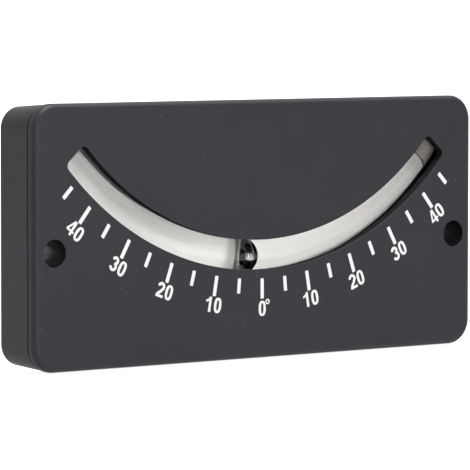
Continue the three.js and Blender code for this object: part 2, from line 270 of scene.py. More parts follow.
def rounded_rectangle(width, height, corner, inset=0.0, steps=CORNER_STEPS):
    half_x, half_z, radius = width / 2 - inset, height / 2 - inset, corner - inset
    points = []
    for quarter, (side_x, side_z) in enumerate(((1, 1), (-1, 1), (-1, -1), (1, -1))):
        for step in range(steps + 1):
            turn = (quarter + step / steps) * math.pi / 2
            x = side_x * (half_x - radius) + radius * math.cos(turn)
            z = side_z * (half_z - radius) + radius * math.sin(turn)
            points.append((x, z))
    return points


def circle(centre, radius, sides=HOLE_SIDES):
    turns = [2 * math.pi * side / sides for side in range(sides)]
    return [(centre[0] + radius * math.cos(t), centre[1] + radius * math.sin(t)) for t in turns]


def on_arc(radius, angle):
    turn = math.radians(angle)
    return radius * math.sin(turn), arc_centre.z - radius * math.cos(turn)


def band(inner, outer, half_angle, corner=0.0, inset=0.0):
    """A curved band between two radii. Its corners are quarter rounds where a corner size is given."""
    count = math.ceil(2 * half_angle / ARC_STEP)
    inner, outer = inner + inset, outer - inset
    half_angle -= math.degrees(inset / BEND_RADIUS)
    corner = max(corner - inset, 0) if corner else 0
    steps = BAND_CORNER_STEPS if corner else 0

    def quarter(centre_radius, first_turn):
        reach = math.degrees(corner / centre_radius)
        turns = [first_turn + step / BAND_CORNER_STEPS * math.pi / 2 for step in range(steps + 1)]
        return [(centre_radius - corner * math.cos(t), half_angle - reach * (1 - math.sin(t))) for t in turns]

    def between(start, end):
        return [(start[0], start[1] + (end[1] - start[1]) * step / count) for step in range(1, count)]

    right = quarter(inner + corner, 0) + quarter(outer - corner, math.pi / 2)
    left = [(radius, -angle) for radius, angle in reversed(right)]
    outline = right + between(right[-1], left[0]) + left + between(left[-1], right[0])
    return [on_arc(radius, angle) for radius, angle in outline]


def rectangle(left, bottom, right, top):
    return [(left, bottom), (right, bottom), (right, top), (left, top)]


# Stations of a plate or a cutter: (inset, depth) pairs from the rear to the front

def quarter_round(radius):
    turns = [step / EDGE_STEPS * math.pi / 2 for step in range(EDGE_STEPS + 1)]
    return [(radius * (1 - math.sin(t)), radius * (1 - math.cos(t))) for t in turns]


def plate_stations(rear, front, rear_edge=0.0, front_edge=0.0):
    rear_part = [(i, rear + back) for i, back in quarter_round(rear_edge)] if rear_edge else [(0, rear)]
    front_part = [(i, front - back) for i, back in quarter_round(front_edge)] if front_edge else [(0, front)]
    return rear_part + front_part[::-1]


def cutter_stations(rear, front, rear_edge=0.0, front_edge=0.0):
    """Stations of a tool that opens a wall from rear to front and rounds the edges that it leaves."""
    stations = [(-i, depth) for i, depth in plate_stations(rear, front, rear_edge, front_edge)]
    return [(-rear_edge, rear - OVERRUN)] + stations + [(-front_edge, front + OVERRUN)]


# Meshes

def new_piece(name, bm):
    bmesh.ops.recalc_face_normals(bm, faces=bm.faces)
    mesh = bpy.data.meshes.new(name)
    bm.to_mesh(mesh)
    bm.free()
    piece = bpy.data.objects.new(name, mesh)
    bpy.context.scene.collection.objects.link(piece)
    return piece


def add_skin(bm, rings, ends="caps"):
    """Faces through rings of equally many points. The ends are capped, or joined to each other as a loop."""
    rows = [[bm.verts.new(point) for point in ring] for ring in rings]
    pairs = list(zip(rows, rows[1:]))
    if ends == "loop":
        pairs.append((rows[-1], rows[0]))
    count = len(rings[0])
    for lower, upper in pairs:
        for i in range(count):
            j = (i + 1) % count
            bm.faces.new((lower[i], lower[j], upper[j], upper[i]))
    if ends == "caps":
        bm.faces.new(rows[0][::-1])
        bm.faces.new(rows[-1])


def plate(name, outline, stations):
    """A solid through the outline at each station. outline takes an inset and gives (x, z) points."""
    bm = bmesh.new()
    add_skin(bm, [[(x, -depth, z) for x, z in outline(inset)] for inset, depth in stations])
    return new_piece(name, bm)


def peg(name, centre, radius, stations):
    return plate(name, lambda inset: circle(centre, radius - inset), stations)


def apply_tools(piece, tools, operation):
    for tool in tools:
        modifier = piece.modifiers.new("tool", "BOOLEAN")
        modifier.operation = operation
        modifier.solver = "EXACT"
        modifier.object = tool
    graph = bpy.context.evaluated_depsgraph_get()
    mesh = bpy.data.meshes.new_from_object(piece.evaluated_get(graph))
    piece.modifiers.clear()
    piece.data = mesh
    for tool in tools:
        bpy.data.objects.remove(tool)


def cut(piece, tools):
    apply_tools(piece, tools, "DIFFERENCE")


def join(piece, tools):
    apply_tools(piece, tools, "UNION")


def smooth(piece):
    """Smooth shading that keeps the flats flat and the sharp edges sharp."""
    mesh = piece.data
    mesh.polygons.foreach_set("use_smooth", [True] * len(mesh.polygons))
    mesh.set_sharp_from_angle(angle=SHARP)
    modifier = piece.modifiers.new("normals", "WEIGHTED_NORMAL")
    modifier.keep_sharp = True
    return piece


def dress(piece, body, materials, replaced=()):
    """The piece's materials, the body that it rides on and the CAD nodes that it stands for."""
    piece.data.materials.clear()
    for material in materials:
        piece.data.materials.append(material)
    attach(piece, body)
    if replaced:
        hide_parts(*replaced)
    return piece


# Materials

class Shading:
    """A node material round one Principled shader, with patterns measured in millimetres."""

    def __init__(self, name, color, roughness, **sockets):
        self.material = bpy.data.materials.new(name)
        self.material.use_nodes = True
        self.nodes = self.material.node_tree.nodes
        self.links = self.material.node_tree.links
        self.shader = self.nodes["Principled BSDF"]
        self.shader.inputs["Base Color"].default_value = (*color, 1)
        self.shader.inputs["Roughness"].default_value = roughness
        for socket, value in sockets.items():
            self.shader.inputs[socket.replace("_", " ")].default_value = value
        place = self.nodes.new("ShaderNodeTexCoord")
        scale = self.nodes.new("ShaderNodeVectorMath")
        scale.operation = "SCALE"
        scale.inputs["Scale"].default_value = 1 / MM
        self.links.new(place.outputs["Object"], scale.inputs[0])
        self.place = scale.outputs[0]

    def noise(self, size, detail=2.0, roughness=0.5):
        """Noise from 0 to 1 whose features are about size millimetres."""
        node = self.nodes.new("ShaderNodeTexNoise")
        node.inputs["Scale"].default_value = 1 / size
        node.inputs["Detail"].default_value = detail
        node.inputs["Roughness"].default_value = roughness
        self.links.new(self.place, node.inputs["Vector"])
        return node.outputs["Fac"]

    def spots(self, spacing, size, share):
        """Scattered round spots: 1 on a spot and 0 beside it. Only a share of the cells holds one."""
        node = self.nodes.new("ShaderNodeTexVoronoi")
        node.inputs["Scale"].default_value = 1 / spacing
        self.links.new(self.place, node.inputs["Vector"])
        near = self.math("LESS_THAN", node.outputs["Distance"], size / spacing)
        chosen = self.nodes.new("ShaderNodeSeparateColor")
        self.links.new(node.outputs["Color"], chosen.inputs[0])
        return self.math("MULTIPLY", near, self.math("LESS_THAN", chosen.outputs[0], share))

    def math(self, operation, first, second):
        node = self.nodes.new("ShaderNodeMath")
        node.operation = operation
        for socket, value in zip(node.inputs, (first, second)):
            if isinstance(value, (int, float)):
                socket.default_value = value
            else:
                self.links.new(value, socket)
        return node.outputs[0]

    def between(self, factor, low, high, from_low=0.0, from_high=1.0):
        """A number that runs from low to high as the factor goes from from_low to from_high."""
        node = self.nodes.new("ShaderNodeMapRange")
        ends = {"From Min": from_low, "From Max": from_high, "To Min": low, "To Max": high}
        for socket, value in ends.items():
            node.inputs[socket].default_value = value
        self.links.new(factor, node.inputs["Value"])
        return node.outputs[0]

    def blend(self, factor, first, second):
        """A colour that runs from first to second, which are colours or sockets."""
        node = self.nodes.new("ShaderNodeMix")
        node.data_type = "RGBA"
        self.links.new(factor, node.inputs["Factor"])
        for name, value in (("A", first), ("B", second)):
            socket = [s for s in node.inputs if s.name == name and s.type == "RGBA"][0]
            if isinstance(value, tuple):
                socket.default_value = (*value, 1)
            else:
                self.links.new(value, socket)
        return [s for s in node.outputs if s.type == "RGBA"][0]

    def color(self, socket):
        self.links.new(socket, self.shader.inputs["Base Color"])

    def roughness(self, socket):
        self.links.new(socket, self.shader.inputs["Roughness"])

    def bump(self, height, depth, strength):
        node = self.nodes.new("ShaderNodeBump")
        node.inputs["Distance"].default_value = depth
        node.inputs["Strength"].default_value = strength
        self.links.new(height, node.inputs["Height"])
        self.links.new(node.outputs[0], self.shader.inputs["Normal"])

    def lets_lamps_through(self, tint):
        """Rays towards the lamps pass straight through, so that clear material lights what is behind it."""
        clear = self.nodes.new("ShaderNodeBsdfTransparent")
        clear.inputs["Color"].default_value = (*tint, 1)
        path = self.nodes.new("ShaderNodeLightPath")
        mix = self.nodes.new("ShaderNodeMixShader")
        self.links.new(path.outputs["Is Shadow Ray"], mix.inputs["Fac"])
        self.links.new(self.shader.outputs[0], mix.inputs[1])
        self.links.new(clear.outputs[0], mix.inputs[2])
        self.links.new(mix.outputs[0], self.nodes["Material Output"].inputs["Surface"])


def case_plastic(name, roughness, specular):
    """Black moulded plastic: a fine even grain, faint clouds in its gloss and a little settled dust."""
    look = Shading(name, (0.022, 0.0225, 0.028), roughness, Specular_IOR_Level=specular)
    clouds = look.noise(9, 3)
    grain = look.noise(0.16, 2)
    tone = look.blend(clouds, (0.0197, 0.0203, 0.0265), (0.0245, 0.025, 0.0305))
    dust = look.spots(1.7, 0.12, 0.3)
    look.color(look.blend(look.math("MULTIPLY", dust, 0.6), tone, (0.2, 0.2, 0.2)))
    gloss = look.math("ADD", clouds, look.math("MULTIPLY", grain, 0.3))
    look.roughness(look.between(gloss, roughness - 0.05, roughness + 0.06, 0.3, 1.0))
    look.bump(grain, 0.006 * MM, 0.5)
    return look.material


def slot_painted_shade():
    """The slot's walls: dull, with painted shade, a colour darker than the case's plastic for the shade that
    falls in the slot.
    """
    look = Shading("slot_painted_shade", (0.017, 0.017, 0.019), 0.8, Specular_IOR_Level=0.05)
    flow = look.noise(1.4, 3)
    look.color(look.blend(flow, (0.014, 0.014, 0.016), (0.02, 0.02, 0.022)))
    look.roughness(look.between(flow, 0.75, 0.9))
    return look.material


def bore_painted_shade():
    """The walls of the mounting holes, smooth from the pins that shaped them, with painted shade: a colour
    darker than the case's plastic for the shade in the holes.
    """
    look = Shading("bore_painted_shade", (0.012, 0.012, 0.014), 0.2, Specular_IOR_Level=0.5)
    flow = look.noise(1.4, 3)
    look.color(look.blend(flow, (0.01, 0.01, 0.012), (0.016, 0.016, 0.019)))
    look.roughness(look.between(flow, 0.16, 0.28))
    return look.material


def print_white():
    """White pad print, a little uneven in its gloss."""
    look = Shading("print_white", (0.86, 0.86, 0.86), 0.5)
    uneven = look.noise(0.5, 3)
    look.color(look.blend(uneven, (0.84, 0.84, 0.845), (0.93, 0.93, 0.93)))
    look.roughness(look.between(uneven, 0.42, 0.6))
    look.bump(look.noise(0.12), 0.003 * MM, 0.4)
    return look.material


def tube_glass():
    """Clear drawn glass, the tube's outside and its ends."""
    look = Shading("tube_glass", (0.99, 0.99, 0.99), 0.0, Transmission_Weight=1.0, IOR=1.49)
    look.roughness(look.between(look.noise(2.5, 2), 0, 0.012))
    look.lets_lamps_through((0.98, 0.98, 0.98))
    return look.material


def wetted_glass():
    """The bore's wall, where glass meets the liquid: it hardly bends or mirrors light."""
    look = Shading("wetted_glass", (1.0, 1.0, 1.0), 0.0, Transmission_Weight=1.0, IOR=1.09)
    look.roughness(look.between(look.noise(4, 2), 0, 0.012))
    look.lets_lamps_through((1.0, 1.0, 1.0))
    return look.material


def strip_white():
    """White reflector strip: matt, with a faint fibre and a fine speckle."""
    look = Shading("strip_white", (0.84, 0.82, 0.79), 0.6)
    fibre = look.noise(0.4, 2)
    speckle = look.noise(0.14, 2)
    tone = look.blend(fibre, (0.81, 0.79, 0.765), (0.86, 0.845, 0.82))
    look.color(look.blend(look.between(speckle, 0, 0.25, 0.55, 0.75), tone, (0.66, 0.64, 0.6)))
    look.roughness(look.between(fibre, 0.55, 0.75))
    look.bump(speckle, 0.01 * MM, 0.4)
    return look.material


def plug_rubber():
    """Grey stopper with a mottled body."""
    look = Shading("plug_rubber", (0.2, 0.19, 0.17), 0.5, Specular_IOR_Level=0.35)
    mottle = look.noise(0.8, 4, 0.6)
    look.color(look.blend(look.between(mottle, 0, 1, 0.3, 0.7), (0.13, 0.12, 0.105), (0.29, 0.28, 0.25)))
    look.roughness(look.between(mottle, 0.42, 0.6))
    look.bump(mottle, 0.03 * MM, 0.5)
    return look.material


def band_grey():
    """The band over the tube's right end: mottled brownish grey, thin enough to let light through."""
    look = Shading("band_grey", (0.17, 0.155, 0.14), 0.45, Specular_IOR_Level=0.3)
    mottle = look.noise(0.9, 4, 0.6)
    look.color(look.blend(look.between(mottle, 0, 1, 0.3, 0.7), (0.14, 0.13, 0.12), (0.33, 0.31, 0.29)))
    look.roughness(look.between(mottle, 0.4, 0.6))
    look.lets_lamps_through((0.96, 0.96, 0.95))
    return look.material


def band_shade_line():
    """The dark line at the band's edge: painted shade, standing in for a shaded rim at the tube's end."""
    look = Shading("band_shade_line", (0.02, 0.018, 0.015), 0.5)
    look.color(look.blend(look.noise(0.6, 3), (0.012, 0.011, 0.009), (0.05, 0.045, 0.04)))
    return look.material


def ball_steel():
    """Polished bearing steel with a faint haze. Its colour is darker than bare steel, as painted shade that
    dims what the ball mirrors.
    """
    look = Shading("ball_steel", (0.44, 0.44, 0.45), 0.05, Metallic=1.0)
    haze = look.noise(1.2, 4)
    look.color(look.blend(haze, (0.39, 0.39, 0.4), (0.49, 0.49, 0.5)))
    look.roughness(look.between(haze, 0.03, 0.07, 0.35, 0.7))
    return look.material


def screw_zinc():
    """Bright zinc plating over turned steel."""
    look = Shading("screw_zinc", (0.5, 0.51, 0.53), 0.35, Metallic=1.0)
    clouds = look.noise(0.9, 3)
    look.color(look.blend(clouds, (0.42, 0.43, 0.44), (0.58, 0.59, 0.61)))
    look.roughness(look.between(look.noise(0.25, 3), 0.26, 0.45))
    look.bump(look.noise(0.1, 2), 0.004 * MM, 0.4)
    return look.material


# Case

def screw_places():
    places = {}
    for name in ("upper_left", "upper_right", "lower_left", "lower_right"):
        low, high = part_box(f"cover_screw_{name}")
        places[name] = ((low.x + high.x) / 2, (low.z + high.z) / 2)
    return places


def mounting_holes():
    return [(side * HOLE_X, HOLE_Z) for side in (-1, 1)]


def scale_marks():
    """(angle, length) of each graduation."""
    count = 2 * SCALE_END // SCALE_STEP
    angles = [SCALE_STEP * step - SCALE_END for step in range(count + 1)]
    return [(angle, TICK_LONG if angle % SCALE_LONG_STEP == 0 else TICK_SHORT) for angle in angles]


def turned(points, angle, radius):
    """Upright (x, height) points, set on the scale with their feet outwards and height 0 at the radius."""
    turn = math.radians(angle)
    across = Vector((math.cos(turn), math.sin(turn)))
    outward = Vector((math.sin(turn), -math.cos(turn)))
    centre = Vector((0, arc_centre.z))
    places = [centre + outward * (radius - height) + across * x for x, height in points]
    return [(place.x, place.y) for place in places]


def tick_outline(angle, length, inset):
    middle = BEND_RADIUS + SLOT_WIDTH / 2 + TICK_GAP + length / 2
    points = rounded_rectangle(TICK_WIDTH, length, TICK_CORNER + inset, inset, TICK_CORNER_STEPS)
    return turned(points, angle, middle)


def slot_outline(inset):
    return band(BEND_RADIUS - SLOT_WIDTH / 2, BEND_RADIUS + SLOT_WIDTH / 2, SLOT_END, SLOT_CORNER, inset)


def in_hole(face):
    """Whether a face is part of the wall of a mounting hole."""
    x, _, z = face.center
    off_axis = min(math.hypot(x - hole_x, z - hole_z) for hole_x, hole_z in mounting_holes())
    return abs(face.normal.y) < UPRIGHT and off_axis < HOLE_RADIUS + FINE_EDGE / 2


def in_slot(face):
    """Whether a face is part of the slot's upright wall."""
    x, y, z = face.center
    off_line = abs(math.hypot(x, z - arc_centre.z) - BEND_RADIUS)
    turn = math.degrees(math.atan2(abs(x), arc_centre.z - z))
    in_band = off_line < SLOT_WIDTH / 2 + SLOT_SIDE_MARGIN and turn < SLOT_END + SLOT_END_MARGIN
    return abs(face.normal.y) < UPRIGHT and in_band and y < -COVER_BACK


def make_cover(material, slot_shade_material, bore_shade_material):
    """The front plate with its slot, holes, sunk graduations, locating lip and screw posts."""
    def outline(inset):
        return rounded_rectangle(BODY_WIDTH, BODY_HEIGHT, BODY_CORNER, inset)

    cover = plate("cover", outline, plate_stations(COVER_BACK, BODY_DEPTH, REAR_EDGE, COVER_EDGE))
    lip_width = HOUSING_WIDTH - 2 * SIDE_WALL - 2 * LIP_GAP
    lip_height = HOUSING_HEIGHT - 2 * SIDE_WALL - 2 * LIP_GAP
    lip_corner = HOUSING_CORNER - SIDE_WALL - LIP_GAP
    lip_back = COVER_BACK - LIP_HEIGHT

    def lip_outline(inset):
        return rounded_rectangle(lip_width, lip_height, lip_corner, inset)

    lip = plate("lip", lip_outline, [(0, lip_back), (0, COVER_BACK + OVERRUN)])
    lip_stations = [(LIP_THICKNESS, lip_back - OVERRUN), (LIP_THICKNESS, COVER_BACK + 2 * OVERRUN)]
    lip_tools = [plate("lip_hole", lip_outline, lip_stations)]
    notch_radius = HOLE_RADIUS + HOLE_BOSS_WALL + LIP_NOTCH_GAP
    for hole in mounting_holes():
        lip_tools.append(peg("notch", hole, notch_radius, [(0, lip_back - OVERRUN), (0, COVER_BACK)]))
    cut(lip, lip_tools)
    places = screw_places().values()
    posts = [peg("post", place, POST_RADIUS, [(0, POST_BACK), (0, COVER_BACK + OVERRUN)]) for place in places]
    join(cover, [lip, *posts])

    tools = [plate("slot", slot_outline, cutter_stations(COVER_BACK, BODY_DEPTH, SLOT_REAR_EDGE, FINE_EDGE))]
    for hole in mounting_holes():
        tools.append(peg("hole", hole, HOLE_RADIUS, cutter_stations(COVER_BACK, BODY_DEPTH, 0, FINE_EDGE)))
    for place in places:
        tools.append(peg("pilot", place, PILOT_RADIUS, [(0, POST_BACK - OVERRUN), (0, PILOT_END)]))
    for angle, length in scale_marks():
        recess = [(0, BODY_DEPTH - TICK_SINK), (0, BODY_DEPTH + OVERRUN)]
        tools.append(plate("tick", lambda inset: tick_outline(angle, length, inset), recess))
    cut(cover, tools)
    materials = [material, slot_shade_material, bore_shade_material]
    dress(smooth(cover), "case", materials, ["front_cover"])
    # Slot wall faces get the slot's painted shade; hole wall faces get the darker hole plastic, which is
    # painted shade as well
    for face in cover.data.polygons:
        face.material_index = 1 if in_slot(face) else 2 if in_hole(face) else 0


def make_housing(material, bore_shade_material):
    """The rear tray with the tube's trough, ribs, bosses and the groove at the parting line."""
    def outline(inset):
        return rounded_rectangle(HOUSING_WIDTH, HOUSING_HEIGHT, HOUSING_CORNER, inset)

    def hollow(inset):
        return outline(SIDE_WALL + inset)

    stations = plate_stations(0, COVER_BACK - SEAM_WIDTH, HOUSING_EDGE, RIM_EDGE)
    stations += [(SEAM_DEPTH, COVER_BACK - SEAM_WIDTH), (SEAM_DEPTH, COVER_BACK)]
    drawn_in = [(inset + HOUSING_DRAFT * (1 - depth / COVER_BACK), depth) for inset, depth in stations]
    housing = plate("housing", outline, drawn_in)
    cut(housing, [plate("hollow", hollow, [(0, BACK_WALL), (0, COVER_BACK + OVERRUN)])])

    floor = BACK_WALL / 2
    inner = BEND_RADIUS - TUBE_RADIUS - TROUGH_GAP
    outer = BEND_RADIUS + TUBE_RADIUS + TROUGH_GAP

    def trough_outline(inset):
        return band(inner - TROUGH_WALL, outer + TROUGH_WALL, TROUGH_OUTER_END)

    def channel_outline(inset):
        return band(inner, outer, TROUGH_END)

    fittings = plate("fittings", trough_outline, [(0, floor), (0, TROUGH_FRONT)])
    cut(fittings, [plate("channel", channel_outline, [(0, floor - OVERRUN), (0, TROUGH_FRONT + OVERRUN)])])
    parts = []
    wall_top = HOUSING_HEIGHT / 2 - SIDE_WALL / 2
    rows = (
        (LOWER_RIBS, outer + TROUGH_WALL / 2, -wall_top),
        (UPPER_RIBS, inner - TROUGH_WALL / 2, wall_top),
    )
    for count, radius, end in rows:
        for rib in range(count):
            x = (rib - (count - 1) / 2) * RIB_SPACING
            start = arc_centre.z - math.sqrt(radius**2 - x**2)
            corners = (x - RIB_THICKNESS / 2, min(start, end), x + RIB_THICKNESS / 2, max(start, end))
            parts.append(plate("rib", lambda inset: rectangle(*corners), [(0, floor), (0, RIB_FRONT)]))
    for hole in mounting_holes():
        parts.append(peg("boss", hole, HOLE_RADIUS + HOLE_BOSS_WALL, [(0, floor), (0, COVER_BACK)]))
    places = list(screw_places().values())
    for place in places:
        parts.append(peg("boss", place, BOSS_RADIUS, [(0, floor), (0, BOSS_FRONT)]))
    join(fittings, parts)

    def wall_middle(inset):
        return outline(SIDE_WALL / 2)

    bounds = plate("bounds", wall_middle, [(0, 0), (0, COVER_BACK + OVERRUN)])
    apply_tools(fittings, [bounds], "INTERSECT")
    join(housing, [fittings])

    tools = []
    for hole in mounting_holes():
        tools.append(peg("hole", hole, HOLE_RADIUS, cutter_stations(0, COVER_BACK, FINE_EDGE, 0)))
    for place in places:
        head = cutter_stations(0, HEAD_SEAT, FINE_EDGE, 0)[:-1]
        tools.append(peg("counterbore", place, HEAD_HOLE_RADIUS, head))
        tools.append(peg("shaft", place, SHAFT_RADIUS, [(0, floor), (0, BOSS_FRONT + OVERRUN)]))
    cut(housing, tools)
    dress(smooth(housing), "case", [material, bore_shade_material], ["rear_housing"])
    # Faces of the holes get the darker hole plastic, which is painted shade
    for face in housing.data.polygons:
        face.material_index = int(in_hole(face))


# Printing

def oval(half_width, half_height):
    """An ellipse with slightly squared shoulders, like a printed 0."""
    power = 0.8
    points = []
    for side in range(OVAL_SIDES):
        turn = 2 * math.pi * side / OVAL_SIDES
        across, up = math.cos(turn), math.sin(turn)
        x = half_width * math.copysign(abs(across) ** power, across)
        y = half_height * math.copysign(abs(up) ** power, up)
        points.append((x, y))
    return points


def bow(centre, radius_x, radius_y, start, end):
    turns = [math.radians(start + (end - start) * step / BOW_STEPS) for step in range(BOW_STEPS + 1)]
    return [(centre[0] + radius_x * math.cos(t), centre[1] + radius_y * math.sin(t)) for t in turns]


def stroke(points, width):
    """The outline of a pen line through the points, with square ends."""
    places = [Vector(point) for point in points]
    left, right = [], []
    for i, place in enumerate(places):
        before = places[max(i - 1, 0)]
        after = places[min(i + 1, len(places) - 1)]
        into = (place - before).normalized() if i else (after - place).normalized()
        out_of = (after - place).normalized() if i < len(places) - 1 else into
        along = (into + out_of).normalized()
        side = Vector((-along.y, along.x)) * (width / 2 / max(along.dot(out_of), MITRE_LIMIT))
        left.append(place + side)
        right.append(place - side)
    return [tuple(point) for point in left + right[::-1]]


def digit_shapes():
    """The digits 1 to 4 as overlapping outlines, drawn about x = 0 from the base up."""
    pen = DIGIT_STROKE
    top = DIGIT_HEIGHT
    half = DIGIT_HALF_WIDTH
    shoulder = 0.62 * MM
    bowl = 0.6 * MM
    one = [
        (0.47 * MM, 0),
        (0.47 * MM, top),
        (0.02 * MM, top),
        (-0.3 * MM, 2.55 * MM),
        (-0.85 * MM, 2.32 * MM),
        (-0.85 * MM, 1.86 * MM),
        (-0.13 * MM, 2.12 * MM),
        (-0.13 * MM, 0),
    ]
    two_bow = bow((0, top - shoulder - pen / 2), shoulder, shoulder, 178, -22)
    two = two_bow + [(0.1 * MM, 1.2 * MM), (-0.5 * MM, 0.62 * MM), (-0.62 * MM, 0.2 * MM)]
    upper = bow((-0.02 * MM, top - bowl * 0.98 - pen / 2), bowl * 0.96, bowl * 0.98, 172, -88)
    lower = bow((-0.02 * MM, bowl * 1.08 + pen / 2), bowl * 1.04, bowl * 1.08, 88, -172)
    four_bar = [(-half - 0.06 * MM, 0.82 * MM), (half + 0.1 * MM, 0.82 * MM)]
    return {
        "1": [one],
        "2": [stroke(two, pen), stroke([(-half, pen * 0.44), (half, pen * 0.44)], pen * 0.88)],
        "3": [stroke(upper, pen), stroke(lower, pen)],
        "4": [
            stroke([(0.4 * MM, 0), (0.4 * MM, top)], pen * 0.9),
            stroke(four_bar, pen * 0.75),
            stroke([(0.24 * MM, top), (-0.82 * MM, 0.8 * MM)], pen * 0.7),
        ],
    }


def add_print(bm, outlines, angle, base):
    """The union of the outlines as a thin raised film on the cover, set on the scale at the angle."""
    points, faces = [], []
    for outline in outlines:
        corners = [Vector(p) / MM for p in outline]
        area = sum(a.cross(b) for a, b in zip(corners, corners[1:] + corners[:1]))
        faces.append(list(range(len(points), len(points) + len(corners))))
        points += corners if area > 0 else corners[::-1]
    inside_only, closeness = 1, 1e-6
    places, _, triangles, _, _, sources = delaunay_2d_cdt(points, [], faces, inside_only, closeness)
    flat = turned([(p.x * MM, p.y * MM) for p in places], angle, base)
    verts = [bm.verts.new((x, PRINT_SINK - BODY_DEPTH, z)) for x, z in flat]
    inside = [triangle for triangle, source in zip(triangles, sources) if source]
    made = [bm.faces.new([verts[i] for i in triangle]) for triangle in inside]
    extruded = bmesh.ops.extrude_face_region(bm, geom=made)["geom"]
    raised = [part for part in extruded if isinstance(part, bmesh.types.BMVert)]
    bmesh.ops.translate(bm, vec=(0, -PRINT_RAISE, 0), verts=raised)


def add_ring(bm, outer, inner, angle, base, centre=(0.0, 0.0)):
    """A printed ring between two outlines of equally many points."""
    def at(points, depth):
        moved = [(x + centre[0], y + centre[1]) for x, y in points]
        return [(x, -depth, z) for x, z in turned(moved, angle, base)]

    low, high = BODY_DEPTH - PRINT_SINK, BODY_DEPTH + PRINT_RAISE
    add_skin(bm, [at(outer, low), at(outer, high), at(inner, high), at(inner, low)], "loop")


def make_numbers(material):
    """The number at each long mark. The 0 in the middle stands alone, with a degree ring beside it."""
    shapes = digit_shapes()
    middle = DIGIT_HEIGHT / 2
    zero_hole = oval(DIGIT_HALF_WIDTH - ZERO_SIDE_STROKE, middle - ZERO_END_STROKE)
    zero = (oval(DIGIT_HALF_WIDTH, middle), zero_hole)
    ring = (circle((0, 0), RING_RADIUS, RING_SIDES), circle((0, 0), RING_HOLE, RING_SIDES))
    first_x = DIGIT_SHIFT - DIGIT_ADVANCE / 2
    bm = bmesh.new()
    for angle, _ in scale_marks():
        if angle % SCALE_LONG_STEP:
            continue
        if angle:
            outlines = shapes[str(abs(angle) // 10)]
            tens = [[(x + first_x, y) for x, y in outline] for outline in outlines]
            add_print(bm, tens, angle, DIGIT_BASE)
            add_ring(bm, *zero, angle, DIGIT_BASE, (first_x + DIGIT_ADVANCE, middle))
        else:
            add_ring(bm, *zero, angle, DIGIT_BASE + ZERO_DROP, (0, middle))
            add_ring(bm, *ring, angle, DIGIT_BASE + ZERO_DROP, (RING_X, RING_Z))
    dress(new_piece("scale_numbers", bm), "case", [material])


def make_graduations(material):
    """White paint in the cover's graduations, filled to just under its face."""
    stations = plate_stations(BODY_DEPTH - TICK_SINK + PAINT_GAP, BODY_DEPTH - PAINT_GAP, 0, PAINT_GAP)
    bm = bmesh.new()
    for angle, length in scale_marks():
        rings = []
        for inset, depth in stations:
            rings.append([(x, -depth, z) for x, z in tick_outline(angle, length, inset + PAINT_GAP)])
        add_skin(bm, rings)
    dress(smooth(new_piece("scale_graduations", bm)), "case", [material])


# Tube, strip, stoppers and ball

def swept_ring(radius, angle, sides=TUBE_SIDES):
    """Points round the tube's centre line at an angle along the scale."""
    x, z = on_arc(BEND_RADIUS, angle)
    turn = math.radians(angle)
    outward = Vector((math.sin(turn), 0, -math.cos(turn)))
    forward = Vector((0, -1, 0))
    centre = Vector((x, -TUBE_DEPTH, z))
    turns = [2 * math.pi * side / sides for side in range(sides)]
    return [centre + (outward * math.cos(t) + forward * math.sin(t)) * radius for t in turns]


def along(length):
    """The angle that a length takes up along the tube."""
    return math.degrees(length / BEND_RADIUS)


def make_tube(glass, wetted):
    """The bent tube with an open bore, whose wall has a material of its own."""
    steps = math.ceil(2 * TUBE_END / ARC_STEP)
    outer_round = [(TUBE_RADIUS - i, TUBE_END - along(back)) for i, back in quarter_round(TUBE_END_ROUND)]
    straight = TUBE_END - along(TUBE_END_ROUND)
    outer = [(TUBE_RADIUS, straight * (2 * step / steps - 1)) for step in range(1, steps)]
    bore = [(BORE_RADIUS, -angle) for _, angle in outer]
    bore_round = [(BORE_RADIUS + i, TUBE_END - along(back)) for i, back in quarter_round(TUBE_END_ROUND)]
    right = outer_round[::-1] + bore_round
    left = [(radius, -angle) for radius, angle in right]
    profile = outer + right + bore + left[::-1]
    bm = bmesh.new()
    add_skin(bm, [swept_ring(radius, angle) for radius, angle in profile], "loop")
    tube = dress(smooth(new_piece("tube", bm)), "case", [glass, wetted], ["curved_tube"])
    middle = (TUBE_RADIUS + BORE_RADIUS) / 2
    for face in tube.data.polygons:
        x, y, z = face.center
        off_line = math.hypot(math.hypot(x, z - arc_centre.z) - BEND_RADIUS, y + TUBE_DEPTH)
        face.material_index = int(off_line < middle)


def make_strip(material):
    """The strip on the trough's floor. Its edges turn up, and the inner one laps over the trough's wall."""
    inner = BEND_RADIUS - TUBE_RADIUS - TROUGH_GAP + STRIP_SIDE
    outer = BEND_RADIUS + TUBE_RADIUS + TROUGH_GAP - STRIP_SIDE

    def outline(inset):
        return band(inner, outer, STRIP_END, STRIP_CORNER, inset)

    strip = plate("strip", outline, plate_stations(BACK_WALL, STRIP_FRONT, 0, STRIP_EDGE))
    for side, front in ((-1, TROUGH_FRONT + STRIP_TURN), (1, TUBE_DEPTH + STRIP_OUTER_RISE)):
        near = BEND_RADIUS + side * (TUBE_RADIUS + STRIP_TURN_GAP)
        far = near + side * STRIP_TURN

        def turned_up(inset):
            return band(min(near, far), max(near, far), STRIP_END)

        join(strip, [plate("edge", turned_up, [(0, STRIP_FRONT - STRIP_EDGE), (0, front)])])
    lap_edge = BEND_RADIUS - TUBE_RADIUS - STRIP_TURN_GAP

    def lap(inset):
        return band(lap_edge - STRIP_TURN - STRIP_LAP, lap_edge, STRIP_END)

    join(strip, [plate("lap", lap, [(0, TROUGH_FRONT + STRIP_LAP_GAP), (0, TROUGH_FRONT + STRIP_TURN)])])
    dress(smooth(strip), "case", [material], ["reflector_strip"])


